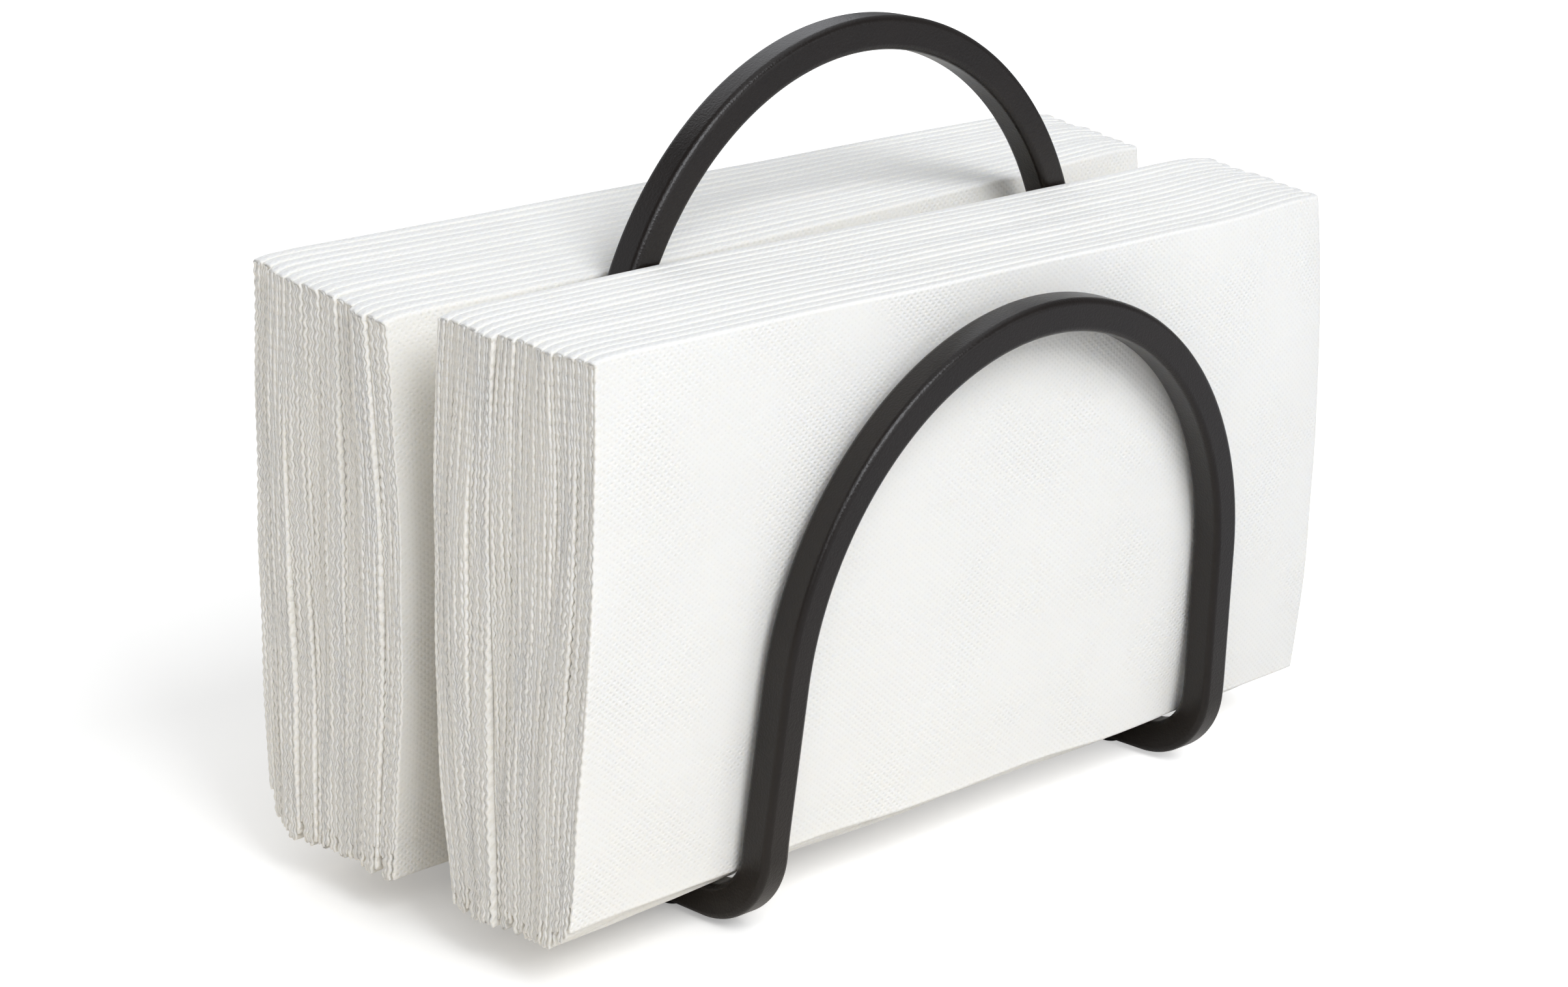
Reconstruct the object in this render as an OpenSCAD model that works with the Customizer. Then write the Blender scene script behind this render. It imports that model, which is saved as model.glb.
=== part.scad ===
// Table napkin holder: three hoops of bent square bar hold two stacks of folded
// paper napkins on edge. The tall hoop between the stacks is also the carrying loop.
// The origin is on the table below the middle of the tall hoop. X runs along the
// napkins, Y runs from the front stack to the rear stack and Z is up.

/* [Bar] */
// Width across the flats of the square bar
bar_w = 6; // [5:0.5:8]
// Radius of the softened edges of the bar
bar_edge_r = 0.9; // [0.5:0.1:1.5]

/* [Low hoops] */
// Centreline radius of the arch of a low hoop
low_arch_r = 57.5; // [50:0.5:70]
// Height of the centre of that arch, along the hoop from the table
low_arch_h = 39.5; // [32:0.5:60]
// Outward splay of the legs of a low hoop, in degrees
low_splay = 4; // [1:0.5:8]
// Outward lean of a low hoop, in degrees
low_lean = 2.4; // [1:0.2:6]
// Centreline radius of the bend from leg to rail
foot_bend_r = 11.4; // [8:0.2:16]
// Centreline radius of the gentle bend that brings a splayed leg upright above its foot
ankle_bend_r = 60; // [30:5:100]
// Distance on the table from the tall hoop to the plane of a low hoop
hoop_pitch = 39.7; // [34:0.1:60]

/* [Tall hoop] */
// How much narrower the arch of the tall hoop is than its feet, on each side
tall_inset = 0.3; // [0:0.1:3]
// Height of the centre of that arch above the table
tall_arch_h = 79.5; // [60:0.5:110]
// Leg length of the weld fillets at the feet of the tall hoop
weld_leg = 1; // [0.6:0.1:1.6]

/* [Foot pads] */
// Thickness of the pads under the rails
pad_t = 0.8; // [0.5:0.1:2]
// Width of a pad
pad_w = 4; // [2:0.2:4]
// Length of a pad along its rail
pad_l = 14; // [8:0.5:18]

/* [Napkins] */
// Length of a folded napkin
napkin_w = 203; // [160:1:230]
// Height of a folded napkin standing on edge
napkin_h = 95; // [80:1:110]
// Number of napkins in each stack
napkin_count = 8; // [4:1:8]
// Opening between the two leaves of a folded napkin
leaf_gap = 0.3; // [0.2:0.05:0.5]
// Turn of the outer face of the front stack about the vertical, in degrees
front_outer_yaw = 1.15; // [0:0.05:1.5]
// Lean of that face towards the rear at its top, in degrees
front_outer_lean = -0.7; // [-1:0.05:0]
// Lean of the face of the front stack that is next to the tall hoop, in degrees
front_inner_lean = 1.7; // [0:0.05:2]
// Turn of the face of the rear stack that is next to the tall hoop, in degrees
rear_inner_yaw = 1.15; // [0:0.05:1.5]
// Lean of that face towards the rear at its top, in degrees
rear_inner_lean = 1.45; // [0:0.05:2]
// Turn of the outer face of the rear stack about the vertical, in degrees
rear_outer_yaw = -0.7; // [-1:0.05:0]
// Lean of that face towards the rear at its top, in degrees
rear_outer_lean = 2.1; // [0.5:0.05:2.2]

/* [Fits] */
// Clearance between the napkins and whatever stands next to them
fit_gap = 0.3; // [0.2:0.05:0.5]

/* [Hidden] */
$fn = 64;
bar_half = bar_w / 2;
rail_top = pad_t + bar_w;
rail_mid = pad_t + bar_half;

// Points along a low hoop, in its own plane before it leans
arch_end_x = low_arch_r * cos(low_splay);
arch_end_h = low_arch_h + low_arch_r * sin(low_splay);
foot_turn = 90 - low_lean;
foot_top_h = (rail_mid + foot_bend_r * (1 - cos(foot_turn))) / cos(low_lean);
ankle_top_h = foot_top_h + ankle_bend_r * sin(low_splay);
ankle_x = arch_end_x + (arch_end_h - ankle_top_h) * tan(low_splay);
rail_x = ankle_x + ankle_bend_r * (1 - cos(low_splay));
rail_l = hoop_pitch - foot_bend_r * cos(low_lean) + foot_top_h * sin(low_lean);

// The legs of the tall hoop run straight from its arch to the middle of the rails
tall_arch_r = rail_x - tall_inset;
tall_drop = tall_arch_h - rail_top;
tall_splay = acos(tall_arch_r / norm([rail_x, tall_drop])) - atan2(tall_drop, rail_x);
tall_top = tall_arch_h + tall_arch_r + bar_half;

// Steps along the bends of the bar, and around each of its rounded edges
arch_steps = 44;
foot_steps = 12;
ankle_steps = 2;
edge_steps = 4;

// Faces of the two stacks, each as [place at the middle of its foot, yaw, lean]
napkin_foot = rail_top + fit_gap;
leg_outside = rail_x + bar_half;
low_face = hoop_pitch - bar_half - fit_gap;
front_outer = [leg_outside * tan(front_outer_yaw) - low_face, front_outer_yaw, front_outer_lean];
front_inner_y = -bar_half - fit_gap - (tall_top - napkin_foot) * tan(front_inner_lean);
front_inner = [front_inner_y, 0, front_inner_lean];
rear_inner_y = bar_half + weld_leg + fit_gap + leg_outside * tan(rear_inner_yaw);
rear_inner = [rear_inner_y, rear_inner_yaw, rear_inner_lean];
rear_outer = [low_face + leg_outside * tan(rear_outer_yaw), rear_outer_yaw, rear_outer_lean];

// The napkins are pressed thin enough for the narrow right end of either stack
function right_end(face) = face[0] + napkin_w / 2 * tan(face[1]);
function right_depth(first, last) = right_end(last) - right_end(first);
tight_depth = min(right_depth(front_outer, front_inner), right_depth(rear_inner, rear_outer));
napkin_t = tight_depth / napkin_count - fit_gap;
leaf_t = (napkin_t - leaf_gap) / 2;
leaf_l = napkin_w - napkin_t / 2;

// An outer napkin rides up on the inside of the foot bends, by how far it reaches over them
bend_inside_r = foot_bend_r - bar_half - fit_gap;
bend_mid_h = rail_mid + foot_bend_r;
function seat_rise(over) =
    over <= 0 ? 0 : max(0, bend_mid_h - sqrt(bend_inside_r ^ 2 - over ^ 2) - napkin_foot);

// Outline of the bar: a square with rounded corners, going round anticlockwise
corner = bar_half - bar_edge_r;
bar_outline = [
    for (quarter = [0 : 3], step = [0 : edge_steps])
        let (turn = 90 * (quarter + step / edge_steps))
        let (x_side = quarter == 0 || quarter == 3 ? 1 : -1)
        let (y_side = quarter < 2 ? 1 : -1)
        [x_side * corner + bar_edge_r * cos(turn), y_side * corner + bar_edge_r * sin(turn)]
];

// Places along a bar, each as [middle of the bar, its outward side, its front side]
function arch_place(r, h, turn) =
    [[r * cos(turn), 0, h + r * sin(turn)], [cos(turn), 0, sin(turn)], [0, -1, 0]];
function ankle_place(turn) =
    arch_place(ankle_bend_r, foot_top_h, turn) + [[rail_x - ankle_bend_r, 0, 0], [0, 0, 0], [0, 0, 0]];
function foot_place(turn) = [
    [rail_x, foot_bend_r * (1 - cos(turn)), foot_top_h - foot_bend_r * sin(turn)],
    [1, 0, 0],
    [0, -cos(turn), -sin(turn)]
];
function moved(place, along) = [place[0] + along, place[1], place[2]];
function across(place) = [for (v = place) [-v[0], v[1], v[2]]];
function backwards(list) = [for (i = [len(list) - 1 : -1 : 0]) list[i]];

// Points of the outline of the bar at a place
function ring(place) = [for (q = bar_outline) place[0] + place[1] * q[0] + place[2] * q[1]];

// Bar that runs through a list of places
module swept_bar(places) {
    sides = len(bar_outline);
    points = [for (place = places) each ring(place)];
    walls = [
        for (i = [0 : len(places) - 2], j = [0 : sides - 1])
            let (k = (j + 1) % sides)
            [i * sides + j, i * sides + k, (i + 1) * sides + k, (i + 1) * sides + j]
    ];
    first_end = [for (j = [sides - 1 : -1 : 0]) j];
    last_end = [for (j = [0 : sides - 1]) (len(places) - 1) * sides + j];
    polyhedron(points, concat(walls, [first_end, last_end]));
}

// Right half of a low hoop below its arch: rail, foot bend and ankle bend
rail_end = moved(foot_place(foot_turn), rail_l * [0, sin(foot_turn), -cos(foot_turn)]);
low_leg = concat(
    [rail_end],
    [for (step = [0 : foot_steps]) foot_place(foot_turn * (1 - step / foot_steps))],
    [for (step = [1 : ankle_steps]) ankle_place(low_splay * step / ankle_steps)]
);
low_arch = [
    for (step = [0 : arch_steps])
        arch_place(low_arch_r, low_arch_h, low_splay + (180 - 2 * low_splay) * step / arch_steps)
];
low_bar = concat(low_leg, low_arch, backwards([for (place = low_leg) across(place)]));

// The tall hoop stands on the rails with its ends cut level
tall_foot = [[rail_x, 0, rail_top], [1, 0, 0], [0, -1, 0]];
tall_arch = [
    for (step = [0 : arch_steps])
        arch_place(tall_arch_r, tall_arch_h, tall_splay + (180 - 2 * tall_splay) * step / arch_steps)
];
tall_bar = concat([tall_foot], tall_arch, [across(tall_foot)]);

// The front hoop: one bar bent to an arch, two splayed legs, two feet and two half rails
module low_hoop() {
    translate([0, -hoop_pitch, 0]) rotate([low_lean, 0, 0]) swept_bar(low_bar);
}

module front_hoop() {
    color("#242322") low_hoop();
}

module rear_hoop() {
    color("#242322") mirror([0, 1, 0]) low_hoop();
}

module tall_hoop() {
    color("#242322") swept_bar(tall_bar);
}

// Hollow-faced fillet in the corner between a rail and the front of a leg
module weld_fillet() {
    fillet_w = bar_w - 2 * bar_edge_r;
    translate([-fillet_w / 2, -bar_half, rail_top]) rotate([90, 0, 90]) linear_extrude(fillet_w)
        difference() {
            translate([-weld_leg, 0]) square(weld_leg);
            translate([-weld_leg, weld_leg]) circle(r = weld_leg);
        }
}

module weld_pair(x) {
    color("#2b2a29") translate([x, 0, 0]) {
        weld_fillet();
        mirror([0, 1, 0]) weld_fillet();
    }
}

module left_weld() {
    weld_pair(-rail_x);
}

module right_weld() {
    weld_pair(rail_x);
}

// Round-ended pad under the middle of a half rail
module foot_pad(x_side, y_side) {
    color("#3a3a3a") translate([x_side * rail_x, y_side * rail_l / 2, 0]) linear_extrude(pad_t) {
        square([pad_w, pad_l - pad_w], center = true);
        for (y = [-1, 1])
            translate([0, y * (pad_l - pad_w) / 2]) circle(d = pad_w);
    }
}

module front_left_pad() {
    foot_pad(-1, -1);
}

module front_right_pad() {
    foot_pad(1, -1);
}

module rear_left_pad() {
    foot_pad(-1, 1);
}

module rear_right_pad() {
    foot_pad(1, 1);
}

// End view of one leaf, with the round fold along its top
module leaf_section() {
    translate([-leaf_t / 2, 0]) square([leaf_t, napkin_h - leaf_t / 2]);
    translate([0, napkin_h - leaf_t / 2]) circle(d = leaf_t);
}

// Folded napkin on edge: two leaves, open on the left and joined by the cross fold on the right
module napkin() {
    leaf_y = (leaf_gap + leaf_t) / 2;
    for (y = [-leaf_y, leaf_y])
        translate([-napkin_w / 2, y, 0]) rotate([90, 0, 90]) linear_extrude(leaf_l) leaf_section();
    translate([leaf_l - napkin_w / 2, 0, 0]) rotate([0, 0, -90])
        rotate_extrude(angle = 180) translate([leaf_y, 0]) leaf_section();
}

// Napkin i of a stack that fans out from its first face to its last
module stacked_napkin(first, last, i) {
    stack_share = (i - 0.5) / napkin_count;
    place = first + (last - first) * stack_share;
    reach = abs(place[0]) + napkin_t / 2 + leg_outside * tan(abs(place[1]));
    color("#ecebe7") translate([0, place[0], napkin_foot]) rotate([-place[2], 0, place[1]])
        translate([0, 0, seat_rise(reach - rail_l)]) napkin();
}

module front_napkin(i) {
    stacked_napkin(front_outer, front_inner, i);
}

module rear_napkin(i) {
    stacked_napkin(rear_inner, rear_outer, i);
}

front_hoop();
rear_hoop();
tall_hoop();
left_weld();
right_weld();
front_left_pad();
front_right_pad();
rear_left_pad();
rear_right_pad();
for (i = [1 : napkin_count]) {
    front_napkin(i);
    rear_napkin(i);
}
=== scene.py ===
import math

import bmesh
import bpy
import numpy as np
from mathutils import Matrix


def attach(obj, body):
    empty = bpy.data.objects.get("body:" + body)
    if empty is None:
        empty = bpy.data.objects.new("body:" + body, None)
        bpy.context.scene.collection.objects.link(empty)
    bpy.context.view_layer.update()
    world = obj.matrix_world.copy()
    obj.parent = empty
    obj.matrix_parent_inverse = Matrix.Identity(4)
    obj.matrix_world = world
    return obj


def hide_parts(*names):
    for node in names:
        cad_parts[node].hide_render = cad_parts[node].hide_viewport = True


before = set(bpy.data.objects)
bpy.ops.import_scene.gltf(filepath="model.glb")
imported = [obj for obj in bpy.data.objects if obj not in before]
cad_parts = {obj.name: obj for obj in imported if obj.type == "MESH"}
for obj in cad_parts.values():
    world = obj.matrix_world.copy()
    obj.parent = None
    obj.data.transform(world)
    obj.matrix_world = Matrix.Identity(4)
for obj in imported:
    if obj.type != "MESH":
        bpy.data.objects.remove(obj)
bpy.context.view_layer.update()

# Sizes are in millimetres, as the solids have them, and meshes are made in metres
MM = 0.001

# Bent bar
BAR_W = 6.0
BAR_EDGE_R = 1.2
LOW_ARCH_R = 57.5
LOW_ARCH_H = 39.5
LOW_SPLAY = math.radians(4.0)
LOW_LEAN = math.radians(2.4)
FOOT_BEND_R = 11.4
ANKLE_BEND_R = 60.0
HOOP_PITCH = 39.7
TALL_INSET = 0.3
TALL_ARCH_H = 79.5
PAD_T = 0.8

BAR_HALF = BAR_W / 2
RAIL_TOP = PAD_T + BAR_W
RAIL_MID = PAD_T + BAR_HALF
FOOT_TURN = math.pi / 2 - LOW_LEAN
FOOT_TOP_H = (RAIL_MID + FOOT_BEND_R * (1 - math.cos(FOOT_TURN))) / math.cos(LOW_LEAN)
ANKLE_TOP_H = FOOT_TOP_H + ANKLE_BEND_R * math.sin(LOW_SPLAY)
ARCH_END_H = LOW_ARCH_H + LOW_ARCH_R * math.sin(LOW_SPLAY)
ANKLE_X = LOW_ARCH_R * math.cos(LOW_SPLAY) + (ARCH_END_H - ANKLE_TOP_H) * math.tan(LOW_SPLAY)
RAIL_X = ANKLE_X + ANKLE_BEND_R * (1 - math.cos(LOW_SPLAY))
RAIL_L = HOOP_PITCH - FOOT_BEND_R * math.cos(LOW_LEAN) + FOOT_TOP_H * math.sin(LOW_LEAN)
TALL_ARCH_R = RAIL_X - TALL_INSET

# Steps along the bends of a bar and around one of its edges, and how near points count as one
FOOT_STEPS = 39
ANKLE_STEPS = 8
LOW_ARCH_STEPS = 160
TALL_ARCH_STEPS = 180
EDGE_STEPS = 7
SAME_POINT = 0.001

# Range of a noise texture that colours and gloss are spread over
NOISE_LOW, NOISE_HIGH = 0.3, 0.7
# How much finer the specks of a coat are than its grain
SPECK_FINER = 2.7

# Embossed tissue: colours of its raised parts and the painted shade in its hollows, pitch and depth of the
# dimples, and how many wear spots, fibres and tints there are to a metre
PAPER_TINTS = (0.910, 0.882, 0.815), (0.925, 0.896, 0.835)
PAPER_HOLLOW_SHADE = (0.880, 0.852, 0.786)
PAPER_ROUGHNESS = (0.86, 0.98)
PAPER_GLOW_DEPTH = 0.8 * MM
EMBOSS_ALONG, EMBOSS_UP = 1.6 * MM, 1.2 * MM
EMBOSS_BLEND = 0.3
EMBOSS_DEPTH = 0.14 * MM
EMBOSS_WORN = (0.2, 1.0)
WEAR_SCALE = 45.0
FIBRE_SCALE = 2600.0
TINT_SCALE = 28.0
FIBRE_SHARE = 0.22


# Materials

def node(tree, kind, **settings):
    """Adds a node and sets its properties."""
    made = tree.nodes.new(kind)
    for name, value in settings.items():
        setattr(made, name, value)
    return made


def feed(tree, socket, value):
    """Links another node's output to a socket, or sets the socket to a number or a colour."""
    if isinstance(value, bpy.types.NodeSocket):
        tree.links.new(value, socket)
    elif isinstance(value, tuple):
        socket.default_value = (*value, 1)
    else:
        socket.default_value = value


def math_node(tree, operation, *values):
    """Adds a Math node, with each input an output of another node or a number, and returns its output."""
    made = node(tree, "ShaderNodeMath", operation=operation)
    for socket, value in zip(made.inputs, values):
        feed(tree, socket, value)
    return made.outputs["Value"]


def noise(tree, where, scale, detail=2.0):
    """Noise texture on the given coordinates."""
    made = node(tree, "ShaderNodeTexNoise")
    tree.links.new(where, made.inputs["Vector"])
    feed(tree, made.inputs["Scale"], scale)
    made.inputs["Detail"].default_value = detail
    return made.outputs["Fac"]


def ramp(tree, factor, dark, light, low=NOISE_LOW, high=NOISE_HIGH):
    """Colour that runs from dark to light as the factor goes from low to high."""
    made = node(tree, "ShaderNodeValToRGB")
    for stop, place, colour in zip(made.color_ramp.elements, (low, high), (dark, light)):
        stop.position = place
        stop.color = (*colour, 1)
    tree.links.new(factor, made.inputs["Fac"])
    return made.outputs["Color"]


def mixed(tree, factor, first, second):
    """Mix of two colours, each an output of another node or three numbers."""
    made = node(tree, "ShaderNodeMix", data_type="RGBA")
    tree.links.new(factor, made.inputs["Factor"])
    colours = [socket for socket in made.inputs if socket.type == "RGBA"]
    for socket, colour in zip(colours, (first, second)):
        feed(tree, socket, colour)
    return next(socket for socket in made.outputs if socket.type == "RGBA")


def spread(tree, factor, low, high):
    """Value that runs from low to high as a noise goes over its range."""
    made = node(tree, "ShaderNodeMapRange")
    limits = {"From Min": NOISE_LOW, "From Max": NOISE_HIGH, "To Min": low, "To Max": high}
    for name, value in limits.items():
        made.inputs[name].default_value = value
    tree.links.new(factor, made.inputs["Value"])
    return made.outputs["Result"]


def bump(tree, height, shader, strength, distance):
    """Feeds a height to the normal of a shader."""
    made = node(tree, "ShaderNodeBump")
    made.inputs["Strength"].default_value = strength
    made.inputs["Distance"].default_value = distance
    tree.links.new(height, made.inputs["Height"])
    tree.links.new(made.outputs["Normal"], shader.inputs["Normal"])


def grain_group():
    """Fine grain of a coated or moulded surface: a height for the bump and a mottle for colour and gloss."""
    tree = bpy.data.node_groups.new("surface_grain", "ShaderNodeTree")
    for name, default in (("Grain per metre", 900.0), ("Mottle per metre", 60.0), ("Fine share", 0.35)):
        socket = tree.interface.new_socket(name, in_out="INPUT", socket_type="NodeSocketFloat")
        socket.default_value = default
    for name in ("Height", "Mottle"):
        tree.interface.new_socket(name, in_out="OUTPUT", socket_type="NodeSocketFloat")
    start = node(tree, "NodeGroupInput")
    end = node(tree, "NodeGroupOutput")
    where = node(tree, "ShaderNodeTexCoord").outputs["Object"]
    grain = start.outputs["Grain per metre"]
    peel = noise(tree, where, grain, 1.0)
    speck = noise(tree, where, math_node(tree, "MULTIPLY", grain, SPECK_FINER), 2.0)
    mottle = noise(tree, where, start.outputs["Mottle per metre"], 3.0)
    fine = math_node(tree, "MULTIPLY", speck, start.outputs["Fine share"])
    tree.links.new(math_node(tree, "ADD", peel, fine), end.inputs["Height"])
    tree.links.new(mottle, end.inputs["Mottle"])
    return tree


def new_material(name):
    """Adds a material with a plain Principled shader and returns it, its tree and the shader."""
    material = bpy.data.materials.new(name)
    material.use_nodes = True
    tree = material.node_tree
    return material, tree, tree.nodes["Principled BSDF"]


def grained_material(name, grain, colours, gloss, grain_size, mottle_size, relief, fine=0.35, shine=0.5):
    """Coated or moulded surface, with its sizes in metres and its relief as a strength and a depth."""
    material, tree, shader = new_material(name)
    surface = node(tree, "ShaderNodeGroup", node_tree=grain)
    surface.inputs["Grain per metre"].default_value = 1 / grain_size
    surface.inputs["Mottle per metre"].default_value = 1 / mottle_size
    surface.inputs["Fine share"].default_value = fine
    mottle = surface.outputs["Mottle"]
    tree.links.new(ramp(tree, mottle, *colours), shader.inputs["Base Color"])
    tree.links.new(spread(tree, mottle, *gloss), shader.inputs["Roughness"])
    shader.inputs["Specular IOR Level"].default_value = shine
    bump(tree, surface.outputs["Height"], shader, *relief)
    return material


def paper_material():
    """White embossed tissue: staggered rows of small dimples on the sheet's own flat coordinates, with
    painted shade in their hollows.
    """
    material, tree, shader = new_material("embossed_tissue")
    shader.inputs["Specular IOR Level"].default_value = 0.2
    shader.inputs["Subsurface Weight"].default_value = 0.55
    shader.inputs["Subsurface Radius"].default_value = (1.0, 0.9, 0.75)
    shader.inputs["Subsurface Scale"].default_value = PAPER_GLOW_DEPTH
    flat = node(tree, "ShaderNodeUVMap", uv_map="flat_sheet").outputs["UV"]
    parts = node(tree, "ShaderNodeSeparateXYZ")
    tree.links.new(flat, parts.inputs["Vector"])
    along = math_node(tree, "MULTIPLY", parts.outputs["X"], math.pi / EMBOSS_ALONG)
    up = math_node(tree, "MULTIPLY", parts.outputs["Y"], math.pi / EMBOSS_UP)
    rows = [
        math_node(tree, "ABSOLUTE", math_node(tree, "SINE", math_node(tree, operation, along, up)))
        for operation in ("ADD", "SUBTRACT")
    ]
    dimples = math_node(tree, "SMOOTH_MAX", *rows, EMBOSS_BLEND)
    worn = noise(tree, flat, WEAR_SCALE)
    fibre = noise(tree, flat, FIBRE_SCALE)
    tint = noise(tree, flat, TINT_SCALE)
    pressed = math_node(tree, "MULTIPLY", dimples, spread(tree, worn, *EMBOSS_WORN))
    height = math_node(tree, "ADD", pressed, math_node(tree, "MULTIPLY", fibre, FIBRE_SHARE))
    # Painted shade: the hollows of the dimples are coloured darker, as if shade lay in them
    hollow_shade_free = spread(tree, dimples, 0.0, 1.0)
    colour = mixed(tree, hollow_shade_free, PAPER_HOLLOW_SHADE, ramp(tree, tint, *PAPER_TINTS))
    tree.links.new(colour, shader.inputs["Base Color"])
    tree.links.new(spread(tree, fibre, *PAPER_ROUGHNESS), shader.inputs["Roughness"])
    bump(tree, height, shader, 0.9, EMBOSS_DEPTH)
    return material


# Bent bars

def arch_points(r, h, start, end, steps):
    """Points on an arch in the plane y = 0, about a centre at height h."""
    turn = np.linspace(start, end, steps + 1)
    return np.stack([r * np.cos(turn), 0 * turn, h + r * np.sin(turn)], 1)


def mirrored(points):
    """The same points on the other side, in the opposite order."""
    return points[::-1] * (-1, 1, 1)


def low_hoop_path():
    """Middle of the bar of the front hoop, from the end of its right rail to the end of its left rail."""
    turn = np.linspace(FOOT_TURN, 0, FOOT_STEPS + 1)
    inwards = FOOT_BEND_R * (1 - np.cos(turn))
    foot = np.stack([RAIL_X + 0 * turn, inwards, FOOT_TOP_H - FOOT_BEND_R * np.sin(turn)], 1)
    rail_end = foot[:1] + RAIL_L * np.array([[0, math.sin(FOOT_TURN), -math.cos(FOOT_TURN)]])
    ankle = arch_points(ANKLE_BEND_R, FOOT_TOP_H, 0, LOW_SPLAY, ANKLE_STEPS)[1:]
    ankle = ankle + (RAIL_X - ANKLE_BEND_R, 0, 0)
    arch = arch_points(LOW_ARCH_R, LOW_ARCH_H, LOW_SPLAY, math.pi - LOW_SPLAY, LOW_ARCH_STEPS)
    leg = np.concatenate([rail_end, foot, ankle])
    x, y, z = np.concatenate([leg, arch, mirrored(leg)]).T
    lean, upright = math.sin(LOW_LEAN), math.cos(LOW_LEAN)
    return np.stack([x, y * upright - z * lean - HOOP_PITCH, y * lean + z * upright], 1)


def tall_hoop_path():
    """Middle of the bar of the tall hoop, whose straight legs stand on the rails."""
    drop = TALL_ARCH_H - RAIL_TOP
    splay = math.acos(TALL_ARCH_R / math.hypot(RAIL_X, drop)) - math.atan2(drop, RAIL_X)
    foot = np.array([[RAIL_X, 0, RAIL_TOP]])
    arch = arch_points(TALL_ARCH_R, TALL_ARCH_H, splay, math.pi - splay, TALL_ARCH_STEPS)
    return np.concatenate([foot, arch, mirrored(foot)])


def bent_bar_tree():
    """Geometry Nodes that sweep a square outline with rounded corners along a path of edges."""
    tree = bpy.data.node_groups.new("bent_bar", "GeometryNodeTree")
    inputs = (
        ("Path", "NodeSocketGeometry"),
        ("Bar width", "NodeSocketFloat"),
        ("Edge radius", "NodeSocketFloat"),
        ("Edge steps", "NodeSocketInt"),
        ("Finish", "NodeSocketMaterial"),
    )
    for name, kind in inputs:
        tree.interface.new_socket(name, in_out="INPUT", socket_type=kind)
    tree.interface.new_socket("Bar", in_out="OUTPUT", socket_type="NodeSocketGeometry")
    start = node(tree, "NodeGroupInput")
    end = node(tree, "NodeGroupOutput")
    path = node(tree, "GeometryNodeMeshToCurve")
    upright = node(tree, "GeometryNodeSetCurveNormal", mode="MINIMUM_TWIST")
    outline = node(tree, "GeometryNodeCurvePrimitiveQuadrilateral", mode="RECTANGLE")
    corners = node(tree, "GeometryNodeFilletCurve", mode="POLY")
    sweep = node(tree, "GeometryNodeCurveToMesh")
    sweep.inputs["Fill Caps"].default_value = True
    smooth = node(tree, "GeometryNodeSetShadeSmooth")
    real = node(tree, "GeometryNodeRealizeInstances")
    finish = node(tree, "GeometryNodeSetMaterial")
    link = tree.links.new
    link(start.outputs["Path"], path.inputs["Mesh"])
    link(path.outputs["Curve"], upright.inputs["Curve"])
    link(start.outputs["Bar width"], outline.inputs["Width"])
    link(start.outputs["Bar width"], outline.inputs["Height"])
    link(outline.outputs["Curve"], corners.inputs["Curve"])
    link(start.outputs["Edge radius"], corners.inputs["Radius"])
    link(start.outputs["Edge steps"], corners.inputs["Count"])
    link(upright.outputs["Curve"], sweep.inputs["Curve"])
    link(corners.outputs["Curve"], sweep.inputs["Profile Curve"])
    link(sweep.outputs["Mesh"], smooth.inputs["Geometry"])
    link(smooth.outputs["Geometry"], real.inputs["Geometry"])
    link(real.outputs["Geometry"], finish.inputs["Geometry"])
    link(start.outputs["Finish"], finish.inputs["Material"])
    link(finish.outputs["Geometry"], end.inputs["Bar"])
    return tree


def set_inputs(modifier, values):
    """Sets a Geometry Nodes modifier's inputs by name, through their identifiers."""
    for item in modifier.node_group.interface.items_tree:
        if item.item_type == "SOCKET" and item.in_out == "INPUT" and item.name in values:
            modifier[item.identifier] = values[item.name]


def new_object(name, data):
    """Adds an object to the scene."""
    made = bpy.data.objects.new(name, data)
    bpy.context.scene.collection.objects.link(made)
    return made


def plain_mesh(piece):
    """Replaces a piece's mesh by what its modifiers make of it, and removes them."""
    bpy.context.view_layer.update()
    evaluated = piece.evaluated_get(bpy.context.evaluated_depsgraph_get())
    old, piece_mesh = piece.data, bpy.data.meshes.new_from_object(evaluated)
    piece.modifiers.clear()
    piece.data = piece_mesh
    bpy.data.meshes.remove(old)
    piece_mesh.name = piece.name


def bent_bar(name, points, tree, finish):
    """Square bar bent along the points, with its faces turned outwards."""
    mesh = bpy.data.meshes.new(name)
    mesh.from_pydata((points * MM).tolist(), [(i, i + 1) for i in range(len(points) - 1)], [])
    piece = new_object(name, mesh)
    sweep = piece.modifiers.new("bent_bar", "NODES")
    sweep.node_group = tree
    set_inputs(sweep, {
        "Bar width": BAR_W * MM,
        "Edge radius": BAR_EDGE_R * MM,
        "Edge steps": EDGE_STEPS,
        "Finish": finish,
    })
    plain_mesh(piece)
    shape = bmesh.new()
    shape.from_mesh(piece.data)
    bmesh.ops.remove_doubles(shape, verts=shape.verts, dist=SAME_POINT * MM)
    bmesh.ops.recalc_face_normals(shape, faces=shape.faces)
    shape.to_mesh(piece.data)
    shape.free()
    flats = piece.modifiers.new("flat_sides", "WEIGHTED_NORMAL")
    flats.weight = 100
    return piece


# Folded napkins. Each is one sheet, folded lengthwise in four and then crosswise,
# so it stands in two leaves of four layers.

NAPKIN_COUNT = 8
LAYERS = 8
SHEET_FLAT = (0.406, 0.380)
LEAF_H = 95.0
LEFT_END = -100.8
RIGHT_END = 99.6
# Order of the layers in a leaf from its outside: loose flap, hidden flap, its neighbour and the back
LOOSE, HIDDEN, NEXT, BACK = range(4)
# Thickness of the sheet inside the stack and at its fluffed cut ends, and where the fluff starts and fades
SHEET_T = 0.40
CUT_T = 0.52
FLUFF_START = 0.6
FLUFF_W = 2.4
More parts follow.
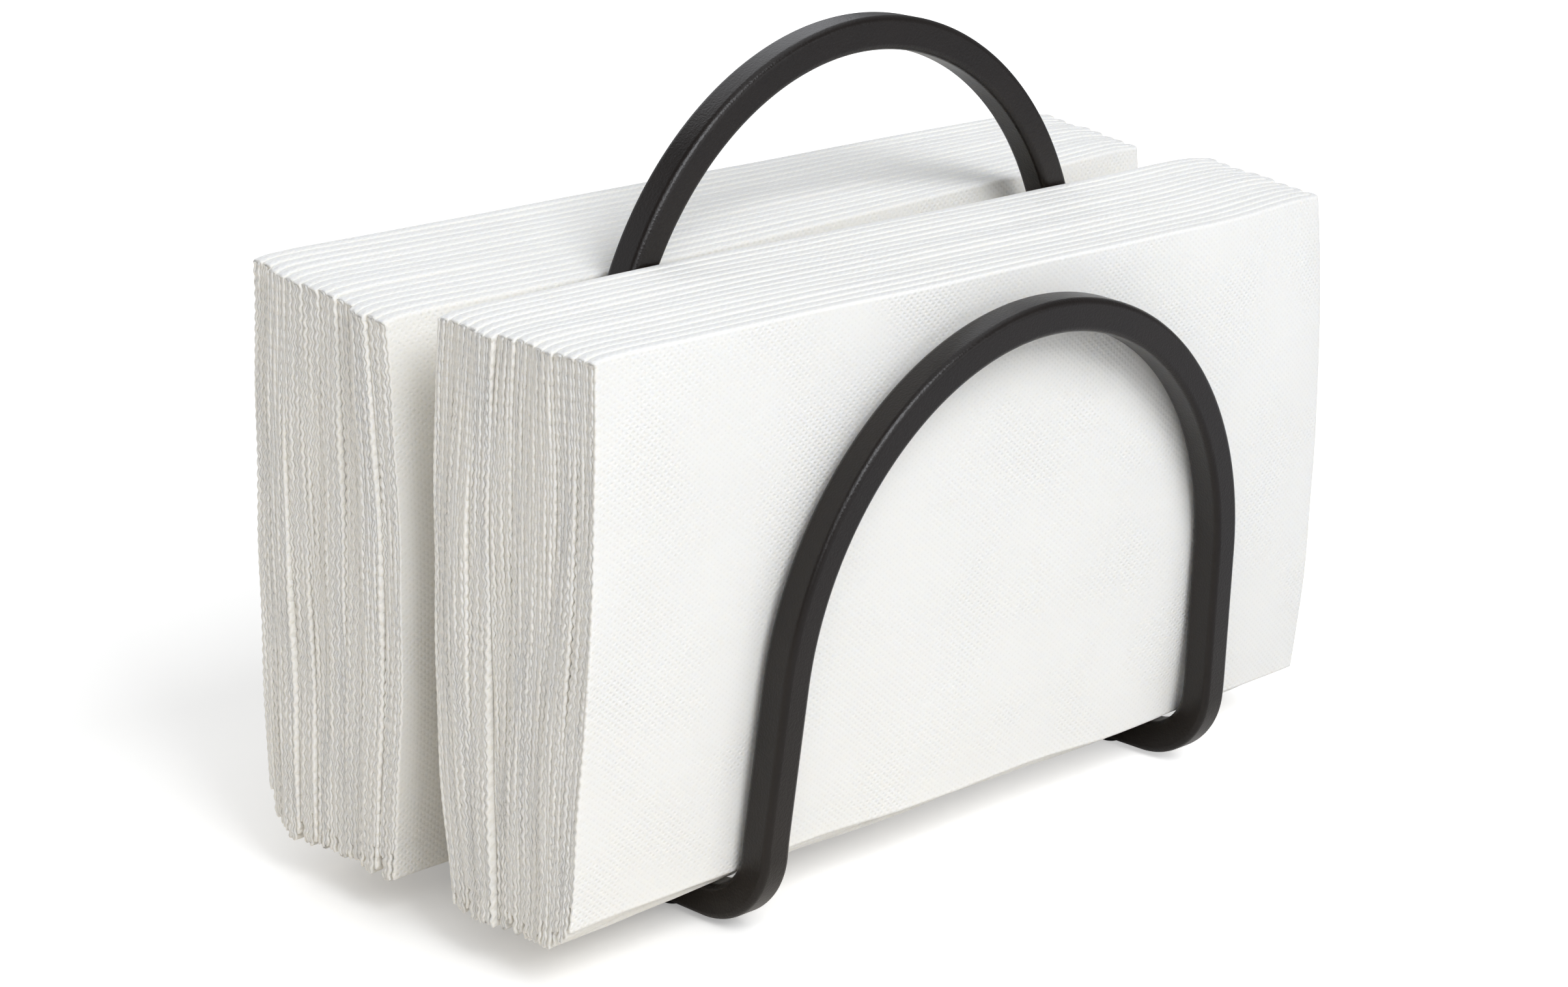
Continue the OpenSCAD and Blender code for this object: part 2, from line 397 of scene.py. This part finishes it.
# Share of the room between layers that a sheet takes, how much more it takes where it is fluffed,
# its least thickness as a share of the fluffed one, and steps of that share
PACKED_SHARE = 0.86
FLUFF_SHARE = 0.07
THIN_SHARE = 0.4
ROOM_STEPS = 40
# Height of the top folds as a share of half their depth, and how much of it lies below a leaf's top
TOP_CROWN = 0.15
CROWN_SHARE = 0.8

# Columns of points: in the fine strip at the cut ends, along the body, just before the cross fold
# and round it
STRIP_W = 3.0
STRIP_STOPS = (0.0, 0.12, 0.34, 0.64, 1.0)
BODY_STEPS = 38
FOLD_HOLD = 0.1
CROSS_STEPS = 8
# Rows of points: coarse ones up a layer, fine ones in each of those, and round the inner and outer bends
LAYER_STEPS = 20
FINE_STEPS = 16
INNER_BEND_STEPS = 5
OUTER_BEND_STEPS = 8
# Lengths on the flat sheet of half the cross fold and of a step round a bend
CROSS_HALF = 3.0
BEND_STEP = 0.3

# Faces of the stacks: places along Y at these heights, one row for each station along X
STATION_X = (-103.0, -62.0, 0.0, 62.0, 103.0)
STATION_Z = (7.0, 55.0, 104.0)
FACE_UNIT = 100
FRONT_OUTER = (
    (-37.6, -41.2, -40.2),
    (-35.6, -38.2, -39.2),
    (-35.4, -37.4, -37.6),
    (-34.8, -38.0, -35.4),
    (-33.0, -33.6, -28.8),
)
FRONT_INNER = (
    (-11.6, -5.2, -5.6),
    (-8.0, -4.2, -3.8),
    (-7.4, -4.4, -3.9),
    (-7.2, -4.4, -3.7),
    (-6.6, -4.2, -2.4),
)
REAR_INNER = (
    (3.4, 2.8, 7.6),
    (4.6, 4.0, 6.0),
    (5.6, 5.0, 6.8),
    (6.8, 6.6, 9.8),
    (8.0, 9.0, 13.8),
)
REAR_OUTER = (
    (34.8, 38.8, 40.0),
    (35.6, 38.0, 39.6),
    (35.6, 37.6, 39.4),
    (35.2, 37.0, 39.2),
    (34.4, 35.8, 37.4),
)
MIDDLE_Z = STATION_Z[1]
# Heights of the tops: first napkin's left and right end, last napkin's left and right end
FRONT_TOPS = ((104.3, 103.5), (104.6, 106.4))
REAR_TOPS = ((101.3, 105.8), (105.3, 108.6))
FRONT_SEED, REAR_SEED = 11, 23

# Seats: gap above the bars, height at which a leaf's reach over the foot bends is taken, and how much
# lower than the one in front of it a napkin of the front stack hangs at most
SEAT_GAP = 0.25
REACH_Z = 10.0
HANG = 2.2

# Uneven packing: gaps between layers, at the faces, and what is added between napkins and between leaves
GAP_RANGE = (0.92, 1.08)
FACE_GAP = 0.5
NAPKIN_GAP = 0.2
LEAF_GAP = 0.1
AROUND = (0, 6.28)
# Bunching of the layers: half waves across the stack, size, length up the stack, slant along it,
# and how far from the cut ends it fades to a share
BUNCH_WAVES = (2, 3, 5, 7, 9, 12, 15)
BUNCH_SIZE = 0.12
BUNCH_LENGTH = (70, 200)
BUNCH_SLANT = 60
BUNCH_FADE = 45
BUNCH_SHARE = 0.2
# Ripples that all layers of a stack share
RIPPLE_COUNT = 7
RIPPLE_SIZE = (0.03, 0.08)
RIPPLE_LENGTH = (3, 8)
# Scalloped cut edges: their pitch, sideways and lengthwise size, and how the pattern drifts
EDGE_WAVE = 2.0
SCALLOP = 0.17
FACE_SCALLOP = 0.06
END_SCALLOP = 0.09
PHASE_DRIFT = 0.45
PHASE_SWING, PHASE_SWING_LENGTH, PHASE_SWING_SHIFT = 0.8, 21, 5
# How far the ends of the layers stand out, and how much further about one in three does
END_RANGE = 0.13
PROUD_EVERY = 3
PROUD_RANGE = (0.03, 0.12)
# Height below a leaf's top over which the ends of its layers come level
EVEN_TOP = 6.0

# Unevenness of each napkin: tilt and rise of its tops, lift of its foot, rise of its flaps and folds,
# drop of its inner folds, and shift of its ends
TOP_TILT = (-0.08, 0.08)
LEAF_RISE = (-0.06, 0.04)
FOOT_LIFT = (0, 0.2)
SLIPPED_SHARE = 0.25
SLIPPED_RISE = (1.5, 4.5)
LOOSE_RISE = (0.2, 1.2)
HIDDEN_RISE = (0.3, 6.0)
FOLD_RISE = (0, 0.9)
FOLD_LIFT = 0.3
INNER_DROP = (0.04, 0.1)
END_SHIFT = (-0.5, 0.5)
RIGHT_SHIFT = (-0.9, 0.6)
# Slow waves: size, length and change of phase from one napkin or layer to the next
TOP_WAVE, TOP_WAVE_LENGTH, TOP_WAVE_SHIFT = 0.08, 17.0, 2.1
LOWER_WAVE, LOWER_WAVE_LENGTH, LOWER_WAVE_SHIFT = 0.35, 9.0, 1.7
END_WAVE, END_WAVE_LENGTH, END_WAVE_LAYERS = 0.3, 17.0, 7
SHORT_WAVE, SHORT_WAVE_LENGTH, SHORT_WAVE_SHIFT = 0.1, 4.3, 2.4
# Rounding of the tops towards the cut ends and the cross fold: depth and reach
LEFT_DROP, LEFT_DROP_START, LEFT_DROP_REACH = 1.0, 0.5, 2.2
RIGHT_DROP, RIGHT_DROP_REACH = 1.2, 5


def face_surface(table):
    """Smooth surface through a table of places, as a function of x and z."""
    x_powers = np.vander(np.array(STATION_X) / FACE_UNIT, increasing=True)
    z_powers = np.vander(np.array(STATION_Z) / FACE_UNIT, increasing=True)
    terms = np.linalg.solve(x_powers, np.linalg.solve(z_powers, np.array(table).T).T)

    def surface(x, z):
        return np.polynomial.polynomial.polyval2d(np.asarray(x) / FACE_UNIT, np.asarray(z) / FACE_UNIT, terms)

    return surface


def smooth_step(t):
    """Smooth rise from 0 to 1 as t goes from 0 to 1."""
    t = np.clip(t, 0, 1)
    return t * t * (3 - 2 * t)


class Stack:
    """Eight napkins between two faces.

    Layers never cross: each has a place between 0 and 1 across the stack."""

    def __init__(self, first, last, tops, seed):
        self.first, self.last = face_surface(first), face_surface(last)
        self.tops = tops
        self.random = draw = np.random.default_rng(seed)
        count = LAYERS * NAPKIN_COUNT
        gaps = draw.uniform(*GAP_RANGE, count + 1)
        gaps[0] = gaps[-1] = FACE_GAP
        gaps[LAYERS:-1:LAYERS] += NAPKIN_GAP
        gaps[LAYERS // 2::LAYERS] += LEAF_GAP
        self.places = (np.cumsum(gaps) / gaps.sum())[:-1]
        self.bunches = [self.bunch(waves) for waves in BUNCH_WAVES]
        self.ripples = [self.ripple() for _ in range(RIPPLE_COUNT)]
        self.lowest = 0.0
        self.phases = np.cumsum(draw.uniform(-PHASE_DRIFT, PHASE_DRIFT, count))
        self.scallop = np.full(count, SCALLOP)
        self.scallop[[0, -1]] = FACE_SCALLOP
        self.ends = draw.uniform(0, END_RANGE, count)
        proud = np.arange(1, count, PROUD_EVERY) + draw.integers(-1, 2, count // PROUD_EVERY)
        self.ends[proud] += draw.uniform(*PROUD_RANGE, len(proud))

    def bunch(self, waves):
        """Wave that draws layers together: its size, length, start and half waves across the stack."""
        size = self.random.uniform(-BUNCH_SIZE, BUNCH_SIZE) / (math.pi * waves)
        return size, self.random.uniform(*BUNCH_LENGTH), self.random.uniform(*AROUND), waves

    def ripple(self):
        """Ripple of the whole stack: its size, how fast it turns along and up, and its start."""
        size = self.random.uniform(*RIPPLE_SIZE)
        along, up = self.random.uniform(-1, 1, 2) / self.random.uniform(*RIPPLE_LENGTH)
        return size, along, up, self.random.uniform(*AROUND)

    def across(self, layer, x, z):
        """Place along Y of a layer of the stack."""
        place = self.places[layer]
        free = BUNCH_SHARE + (1 - BUNCH_SHARE) * np.exp(-(((x - LEFT_END) / BUNCH_FADE) ** 2))
        moved = place + 0 * x
        for size, length, start, waves in self.bunches:
            bunch = size * np.sin(math.pi * waves * place)
            moved = moved + bunch * free * np.sin(2 * math.pi * z / length + start + x / BUNCH_SLANT)
        front, back = self.first(x, z), self.last(x, z)
        ripple = sum(size * np.sin(along * x + up * z + start) for size, along, up, start in self.ripples)
        return front + (back - front) * moved + ripple


def section_rows():
    """Rows along the folded section of a leaf, from the hidden free edge to the loose one.

    Each row is (layer, layer it bends to, share along the layer or turn of the bend,
    whether a coarse column has it)."""
    rows = []

    def run(layer, upwards):
        count = LAYER_STEPS * FINE_STEPS
        for i in range(count + 1):
            share = i / count
            coarse = i % FINE_STEPS == 0 or i in (1, count - 1)
            rows.append((layer, layer, share if upwards else 1 - share, coarse))

    def bend(layer, other, steps):
        for i in range(1, steps):
            rows.append((layer, other, math.pi * i / steps, True))

    run(HIDDEN, True)
    bend(HIDDEN, NEXT, INNER_BEND_STEPS)
    run(NEXT, False)
    bend(NEXT, BACK, INNER_BEND_STEPS)
    run(BACK, True)
    bend(BACK, LOOSE, OUTER_BEND_STEPS)
    run(LOOSE, False)
    return [np.array(values) for values in zip(*rows)]


ROW_LAYER, ROW_OTHER, ROW_SHARE, ROW_COARSE = section_rows()
ROW_BENDS = ROW_LAYER != ROW_OTHER
COARSE_ROWS = np.flatnonzero(ROW_COARSE)


def row_lengths():
    """Distance on the flat sheet from each row to the next."""
    step = LEAF_H / (LAYER_STEPS * FINE_STEPS)
    same = (ROW_LAYER[1:] == ROW_LAYER[:-1]) & ~ROW_BENDS[1:] & ~ROW_BENDS[:-1]
    return np.where(same, step, BEND_STEP)


def seat_height(reach):
    """Height at which a napkin that reaches so far out rests on the rails or inside the foot bends."""
    over = reach - RAIL_L
    inside = FOOT_BEND_R - BAR_HALF - SEAT_GAP
    if over <= 0:
        return RAIL_TOP + SEAT_GAP
    return RAIL_MID + FOOT_BEND_R - math.sqrt(max(inside ** 2 - over ** 2, 0))


class Napkin:
    """One folded sheet at its place in a stack.

    Leaf 0 is in front and leaf 1 behind, and the cross fold on the right joins them."""

    def __init__(self, stack, index):
        self.stack, self.index = stack, index
        draw = stack.random
        inside = index not in (0, NAPKIN_COUNT - 1)
        self.tilt = draw.uniform(*TOP_TILT, 2) * inside
        self.leaf_rise = draw.uniform(*LEAF_RISE, 2) * inside
        self.foot = np.zeros((2, 2, 4))
        for side, leg in enumerate((-RAIL_X, RAIL_X)):
            for leaf in (0, 1):
                for layer in range(4):
                    reach = abs(stack.across(self.layer_of(leaf, layer), leg, REACH_Z)) + SHEET_T / 2
                    self.foot[side, leaf, layer] = max(seat_height(reach), stack.lowest)
                self.foot[side, leaf, [NEXT, BACK]] = self.foot[side, leaf, [NEXT, BACK]].max()
        self.foot += draw.uniform(*FOOT_LIFT)
        if stack.first(0, MIDDLE_Z) < 0:
            stack.lowest = self.foot.min() - HANG
        self.rise = np.zeros((2, 4))
        slipped = draw.random(2) < SLIPPED_SHARE
        slipped_rise = draw.uniform(*SLIPPED_RISE, 2)
        self.rise[:, LOOSE] = np.where(slipped, slipped_rise, draw.uniform(*LOOSE_RISE, 2))
        if index == 0:
            self.rise[0, LOOSE] = LOOSE_RISE[0]
        self.rise[:, HIDDEN] = draw.uniform(*HIDDEN_RISE, 2)
        self.rise[:, [NEXT, BACK]] = draw.uniform(*FOLD_RISE, (2, 1))
        self.inner_drop = draw.uniform(*INNER_DROP, 2)
        self.end = draw.uniform(*END_SHIFT)
        self.end_start = draw.uniform(*AROUND)
        self.right = RIGHT_END + draw.uniform(*RIGHT_SHIFT)

    def layer_of(self, leaf, layer):
        """Number in the stack of a layer of a leaf."""
        order = np.array([0, 1, 2, 3]) if leaf == 0 else np.array([7, 6, 5, 4])
        return LAYERS * self.index + order[layer]

    def top(self, leaf, x, place):
        """Height of the top of a leaf at x, at a place between 0 and 1 across the stack."""
        (first_left, first_right), (last_left, last_right) = self.stack.tops
        left = first_left + (last_left - first_left) * place + self.tilt[0]
        right = first_right + (last_right - first_right) * place + self.tilt[1]
        along = (x - LEFT_END) / (RIGHT_END - LEFT_END)
        wave = TOP_WAVE * np.sin(x / TOP_WAVE_LENGTH + self.index * TOP_WAVE_SHIFT + leaf)
        left_drop = LEFT_DROP * np.exp(-(x - LEFT_END + LEFT_DROP_START) / LEFT_DROP_REACH)
        right_drop = RIGHT_DROP * np.exp((x - RIGHT_END) / RIGHT_DROP_REACH)
        return left + (right - left) * along + self.leaf_rise[leaf] + (wave - left_drop - right_drop)

    def points(self, leaf, x, rows, edge):
        """Points of the rows of a leaf at x, which is one value or one per row.

        The edge is 1 at the cut end and 0 inside."""
        layer, other, share = ROW_LAYER[rows], ROW_OTHER[rows], ROW_SHARE[rows]
        bends = ROW_BENDS[rows]
        x = x + np.zeros(len(rows))
        number, other_number = self.layer_of(leaf, layer), self.layer_of(leaf, other)
        turn = np.where(bends, share, 0)
        place = self.stack.places[number], self.stack.places[other_number]
        top = self.top(leaf, x, place[0] + (place[1] - place[0]) * (1 - np.cos(turn)) / 2)
        outer_top = top - CROWN_SHARE * TOP_CROWN
        inner_top = outer_top - self.inner_drop[leaf]
        upper = np.where((layer == HIDDEN) | (layer == NEXT), inner_top, outer_top)
        wave = LOWER_WAVE * np.sin(x / LOWER_WAVE_LENGTH + layer * LOWER_WAVE_SHIFT + self.index)
        rise = self.rise[leaf][layer] + wave
        left, right = self.foot[0, leaf][layer], self.foot[1, leaf][layer]
        foot = left + (right - left) * (x + RAIL_X) / (2 * RAIL_X)
        lower = foot + np.maximum(rise, 0) + np.where((layer == NEXT) | (layer == BACK), FOLD_LIFT, 0)
        z = np.where(bends, np.where(other == BACK, lower, upper), lower + (upper - lower) * share)
        here = self.stack.across(number, x, z)
        there = self.stack.across(other_number, x, z)
        y = (here + there) / 2 + (here - there) / 2 * np.cos(turn)
        down = np.where(other == BACK, -1, 1)
        crown = np.where(other == BACK, 1, TOP_CROWN)
        z = z + np.where(bends, down * crown * np.abs(here - there) / 2 * np.sin(turn), 0)
        swing = PHASE_SWING * np.sin(z / PHASE_SWING_LENGTH + number / PHASE_SWING_SHIFT)
        phase = 2 * math.pi * z / EDGE_WAVE + self.stack.phases[number] + swing
        y = y + edge * self.stack.scallop[number] * np.sin(phase)
        return np.stack([x, y, z], 1)

    def left_end(self, leaf, rows):
        """Where the cut end of each row lies along X."""
        layer, other, share = ROW_LAYER[rows], ROW_OTHER[rows], ROW_SHARE[rows]
        number = self.layer_of(leaf, layer)
        turn = np.where(ROW_BENDS[rows], (1 - np.cos(share)) / 2, 0)
        ends = self.stack.ends[number] * (1 - turn) + self.stack.ends[self.layer_of(leaf, other)] * turn
        height = np.where(ROW_BENDS[rows], np.where(other == BACK, 0.0, 1.0), share) * LEAF_H
        even = self.stack.ends[self.layer_of(leaf, np.arange(4))].mean()
        ends = ends + (even - ends) * smooth_step((height - (LEAF_H - EVEN_TOP)) / EVEN_TOP)
        wave = END_WAVE * np.sin(height / END_WAVE_LENGTH + self.end_start + number / END_WAVE_LAYERS)
        wave = wave + SHORT_WAVE * np.sin(height / SHORT_WAVE_LENGTH + SHORT_WAVE_SHIFT * number)
        scallop = END_SCALLOP * np.cos(2 * math.pi * height / EDGE_WAVE + self.stack.phases[number])
        return LEFT_END - self.end - ends + wave + scallop

    def columns(self):
        """Columns of points along the sheet: each is (rows, points, distance along the sheet)."""
        every = np.arange(len(ROW_LAYER))
        level = np.zeros(len(COARSE_ROWS))
        half = SHEET_FLAT[0] / MM / 2
        left, right = [], []
        inner = LEFT_END + STRIP_W
        middle = np.array([self.right]), np.array([MIDDLE_Z])
        depth = self.stack.across(LAYERS * self.index + LAYERS - 1, *middle)
        depth = depth - self.stack.across(LAYERS * self.index, *middle)
        turn_x = self.right - depth[0] / 2
        for leaf, side in ((0, left), (1, right)):
            ends = self.left_end(leaf, every)
            for stop in STRIP_STOPS:
                x = ends + (inner - ends) * stop
                side.append((every, self.points(leaf, x, every, (1 - stop) ** 2), x))
            for i in (*range(1, BODY_STEPS), BODY_STEPS - FOLD_HOLD, BODY_STEPS):
                x = inner + (turn_x - inner) * i / BODY_STEPS
                side.append((COARSE_ROWS, self.points(leaf, x, COARSE_ROWS, 0), x + level))
        columns = [(rows, points, half - (turn_x + CROSS_HALF - x)) for rows, points, x in left]
        first, last = left[-1][1], right[-1][1]
        for i in range(1, CROSS_STEPS):
            turn = math.pi * i / CROSS_STEPS
            points = first + (last - first) * (1 - math.cos(turn)) / 2
            points[:, 0] = turn_x + (last[:, 1] - first[:, 1]) / 2 * math.sin(turn)
            along = half - CROSS_HALF + 2 * CROSS_HALF * i / CROSS_STEPS
            columns.append((COARSE_ROWS, points, along + level))
        columns += [(rows, points, half + (turn_x + CROSS_HALF - x)) for rows, points, x in reversed(right)]
        return columns

    def mesh(self, name, finish):
        """The sheet as a mesh with its flat coordinates as UV, and its share of thickness at each point."""
        columns = self.columns()
        points, flat, faces, starts = [], [], [], []
        down = np.concatenate([[0], np.cumsum(row_lengths())]) * MM
        total = 0
        for rows, place, along in columns:
            starts.append(total)
            points.append(place)
            flat.append(np.stack([along * MM, down[rows]], 1))
            total += len(rows)
        for (rows, _, _), (next_rows, _, _), a, b in zip(columns, columns[1:], starts, starts[1:]):
            if len(rows) == len(next_rows):
                i = np.arange(len(rows) - 1)
                faces += np.stack([a + i, b + i, b + i + 1, a + i + 1], 1).tolist()
                continue
            for i, (low, high) in enumerate(zip(COARSE_ROWS, COARSE_ROWS[1:])):
                if len(rows) > len(next_rows):
                    faces.append([b + i, b + i + 1, *range(a + high, a + low - 1, -1)])
                else:
                    faces.append([a + i + 1, a + i, *range(b + low, b + high + 1)])
        points, flat = np.concatenate(points) * MM, np.concatenate(flat)
        mesh = bpy.data.meshes.new(name)
        mesh.from_pydata(points.tolist(), [], faces)
        layer = mesh.uv_layers.new(name="flat_sheet")
        corner = np.zeros(len(mesh.loops), np.int32)
        mesh.loops.foreach_get("vertex_index", corner)
        layer.data.foreach_set("uv", flat[corner].astype(np.float32).ravel())
        mesh.polygons.foreach_set("use_smooth", np.ones(len(mesh.polygons), bool))
        mesh.materials.append(finish)
        return mesh, self.room(points / MM)

    def room(self, points):
        """Thickness at each point as a share of the fluffed cut edge's.

        It is less inside the stack, and where the stack is squeezed."""
        x, _, z = points.T
        pitch = (self.stack.last(x, z) - self.stack.first(x, z)) / (LAYERS * NAPKIN_COUNT)
        fluff = 1 - smooth_step((x - LEFT_END + FLUFF_START) / FLUFF_W)
        loose = SHEET_T + (CUT_T - SHEET_T) * fluff
        packed = (PACKED_SHARE + FLUFF_SHARE * fluff) * pitch
        return np.clip(np.minimum(loose, packed) / CUT_T, THIN_SHARE, 1)


def folded_napkin(name, stack, index, finish):
    """A napkin of a stack, with its paper's thickness."""
    mesh, room = Napkin(stack, index).mesh(name, finish)
    piece = new_object(name, mesh)
    group = piece.vertex_groups.new(name="room")
    steps = np.round(room * ROOM_STEPS).astype(int)
    for step in np.unique(steps):
        group.add(np.flatnonzero(steps == step).tolist(), step / ROOM_STEPS, "REPLACE")
    thickness = piece.modifiers.new("sheet_thickness", "SOLIDIFY")
    thickness.thickness = CUT_T * MM
    thickness.offset = 0
    thickness.vertex_group = group.name
    return piece


# Studio

CAMERA_PLACE = (-0.4485, -0.3995, 0.2341)
CAMERA_FORWARD = (0.7049, 0.6492, -0.2859)
CAMERA_RIGHT = (0.686, -0.7264, 0.0421)
CAMERA_LENS = 80.34
COOL_WHITE = (0.94, 0.96, 1)
SKY_STRENGTH = 0.26
FLOOR_REACH = 6.0
# Floor: what the camera sees of it, and the light that it throws back in front and behind
FLOOR_SEEN = (1, 0.985, 0.95)
FLOOR_BOUNCE_FRONT = (0.64, 0.64, 0.65)
FLOOR_BOUNCE_BACK = (0.95, 0.89, 0.79)
# How the floor's front right turns into its rear left
FLOOR_SLANT = -0.7
FLOOR_FADE = 0.3
FLOOR_MIDDLE = 0.67
# Glow of the floor: its strength, its share close to the holder in front and behind, and where each changes
FLOOR_GLOW = 0.75
FLOOR_GLOW_FRONT = 0.75
FLOOR_GLOW_BACK = 0.34
FLOOR_GLOW_TURN = (0.35, 0.8)
FLOOR_GLOW_FAR = (0.26, 0.95)
# Softboxes: place, the point that they face, size in metres and power in watts
HOLDER_MIDDLE = (0, 0, 0.05)
SOFTBOXES = {
    "front_softbox": ((-0.24, -1.18, 1.20), (0, -0.04, 0.06), (0.9, 0.9), 16.7),
    "left_softbox": ((-0.95, -1.10, 1.05), HOLDER_MIDDLE, (1.0, 1.0), 5.9),
    "right_softbox": ((0.55, -1.35, 0.38), HOLDER_MIDDLE, (1.2, 0.6), 2.6),
    "back_softbox": ((-0.70, 0.90, 0.45), HOLDER_MIDDLE, (1.4, 0.9), 2.0),
    "top_softbox": ((0.4, 0.0, 1.6), HOLDER_MIDDLE, (1.2, 1.2), 3.6),
    "rear_softbox": ((0.55, 1.15, 1.0), HOLDER_MIDDLE, (1.2, 1.2), 5.2),
}


def unit(vector):
    """The same direction with a length of 1."""
    return vector / np.linalg.norm(vector)


def stand(thing, side, over, back, place):
    """Puts a camera or a lamp at a place, with its axes along three directions."""
    axes = [(side[i], over[i], back[i], place[i]) for i in range(3)]
    thing.matrix_world = Matrix([*axes, (0, 0, 0, 1)])


def photo_camera():
    """Camera at the photograph's place and angle."""
    forward = unit(np.array(CAMERA_FORWARD))
    right = np.array(CAMERA_RIGHT)
    right = unit(right - forward * right.dot(forward))
    data = bpy.data.cameras.new("photo_camera")
    data.sensor_fit = "HORIZONTAL"
    data.sensor_width = 36.0
    data.lens = CAMERA_LENS
    data.clip_start, data.clip_end = 0.01, 50.0
    camera = new_object("photo_camera", data)
    stand(camera, right, np.cross(right, forward), -forward, CAMERA_PLACE)
    bpy.context.scene.camera = camera


def softbox(name, place, aim, size, power):
    """Large soft lamp at a place, turned towards a point."""
    data = bpy.data.lights.new(name, "AREA")
    data.shape = "RECTANGLE"
    data.size, data.size_y = size
    data.energy = power
    data.color = COOL_WHITE
    back = unit(np.array(place) - np.array(aim))
    side = unit(np.cross((0, 0, 1), back))
    stand(new_object(name, data), side, np.cross(back, side), back, place)


def camera_share(tree):
    """Socket that is 1 for what the camera sees straight and 0 for light that goes on to other surfaces."""
    return node(tree, "ShaderNodeLightPath").outputs["Is Camera Ray"]


def pale_floor():
    """Floor that looks near white but throws less light back, least of all at the front and right."""
    material, tree, shader = new_material("pale_floor")
    where = node(tree, "ShaderNodeTexCoord").outputs["Object"]
    parts = node(tree, "ShaderNodeSeparateXYZ")
    tree.links.new(where, parts.inputs["Vector"])
    away = math_node(tree, "MULTIPLY_ADD", parts.outputs["X"], FLOOR_SLANT, parts.outputs["Y"])
    share = math_node(tree, "MULTIPLY_ADD", away, 1 / FLOOR_FADE, FLOOR_MIDDLE)
    bounce = ramp(tree, share, FLOOR_BOUNCE_FRONT, FLOOR_BOUNCE_BACK, 0, 1)
    reach = node(tree, "ShaderNodeVectorMath", operation="LENGTH")
    tree.links.new(where, reach.inputs[0])
    near = ramp(tree, share, [FLOOR_GLOW_FRONT] * 3, [FLOOR_GLOW_BACK] * 3, *FLOOR_GLOW_TURN)
    far = ramp(tree, reach.outputs["Value"], (0, 0, 0), (1, 1, 1), *FLOOR_GLOW_FAR)
    glow = mixed(tree, far, near, (1, 1, 1))
    seen = camera_share(tree)
    tree.links.new(mixed(tree, seen, bounce, FLOOR_SEEN), shader.inputs["Base Color"])
    tree.links.new(mixed(tree, seen, (0, 0, 0), glow), shader.inputs["Emission Color"])
    shader.inputs["Roughness"].default_value = 0.9
    shader.inputs["Specular IOR Level"].default_value = 0.0
    shader.inputs["Emission Strength"].default_value = FLOOR_GLOW
    return material


def studio():
    """Pale floor and soft light."""
    mesh = bpy.data.meshes.new("floor")
    corners = ((-1, -1), (1, -1), (1, 1), (-1, 1))
    mesh.from_pydata([(x * FLOOR_REACH, y * FLOOR_REACH, 0) for x, y in corners], [], [(0, 1, 2, 3)])
    mesh.materials.append(pale_floor())
    floor = new_object("floor", mesh)
    world = bpy.data.worlds.new("studio")
    world.use_nodes = True
    tree = world.node_tree
    sky = tree.nodes["Background"]
    seen = camera_share(tree)
    tree.links.new(mixed(tree, seen, COOL_WHITE, (1.0, 1.0, 1.0)), sky.inputs["Color"])
    strength = math_node(tree, "MULTIPLY_ADD", seen, 1 - SKY_STRENGTH, SKY_STRENGTH)
    tree.links.new(strength, sky.inputs["Strength"])
    bpy.context.scene.world = world
    for name, settings in SOFTBOXES.items():
        softbox(name, *settings)
    bpy.context.scene.view_settings.view_transform = "Standard"
    bpy.context.scene.view_settings.look = "None"


# Pieces

def dress_frame():
    """Coated bars in place of the hoops, and finishes for the welds and pads."""
    grain = grain_group()
    coat = grained_material(
        "satin_powder_coat", grain, colours=((0.0060, 0.0035, 0.0022), (0.0085, 0.0052, 0.0036)),
        gloss=(0.28, 0.35), grain_size=0.4 * MM, mottle_size=14 * MM, relief=(1.0, 0.05 * MM), shine=0.4)
    weld_coat = grained_material(
        "coated_weld", grain, colours=((0.005, 0.0047, 0.0045), (0.009, 0.0082, 0.0076)),
        gloss=(0.4, 0.52), grain_size=1.1 * MM, mottle_size=8 * MM, relief=(0.8, 0.12 * MM))
    rubber = grained_material(
        "pad_rubber", grain, colours=((0.022, 0.022, 0.022), (0.036, 0.035, 0.034)),
        gloss=(0.72, 0.86), grain_size=0.5 * MM, mottle_size=5 * MM, relief=(0.5, 0.06 * MM), fine=0.6)
    tree = bent_bar_tree()
    low = low_hoop_path()
    paths = {"front_hoop": low, "rear_hoop": low * (1, -1, 1), "tall_hoop": tall_hoop_path()}
    for name, points in paths.items():
        hoop = bent_bar(name + "_bar", points, tree, coat)
        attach(hoop, "frame")
        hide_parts(name)
    for names, finish, slot in (
        (("left_weld", "right_weld"), weld_coat, "weld"),
        (("front_left_pad", "front_right_pad", "rear_left_pad", "rear_right_pad"), rubber, "pad"),
    ):
        for name in names:
            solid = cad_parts[name]
            solid.data.materials.clear()
            solid.data.materials.append(finish)


def dress_napkins():
    """A folded sheet in place of every napkin of the two stacks."""
    tissue = paper_material()
    stacks = {
        "front": Stack(FRONT_OUTER, FRONT_INNER, FRONT_TOPS, FRONT_SEED),
        "rear": Stack(REAR_INNER, REAR_OUTER, REAR_TOPS, REAR_SEED),
    }
    for side, stack in stacks.items():
        for index in range(NAPKIN_COUNT):
            body = f"{side}_napkin_{index + 1}"
            sheet = folded_napkin(body + "_sheet", stack, index, tissue)
            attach(sheet, body)
            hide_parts(body)


photo_camera()
studio()
dress_frame()
dress_napkins()
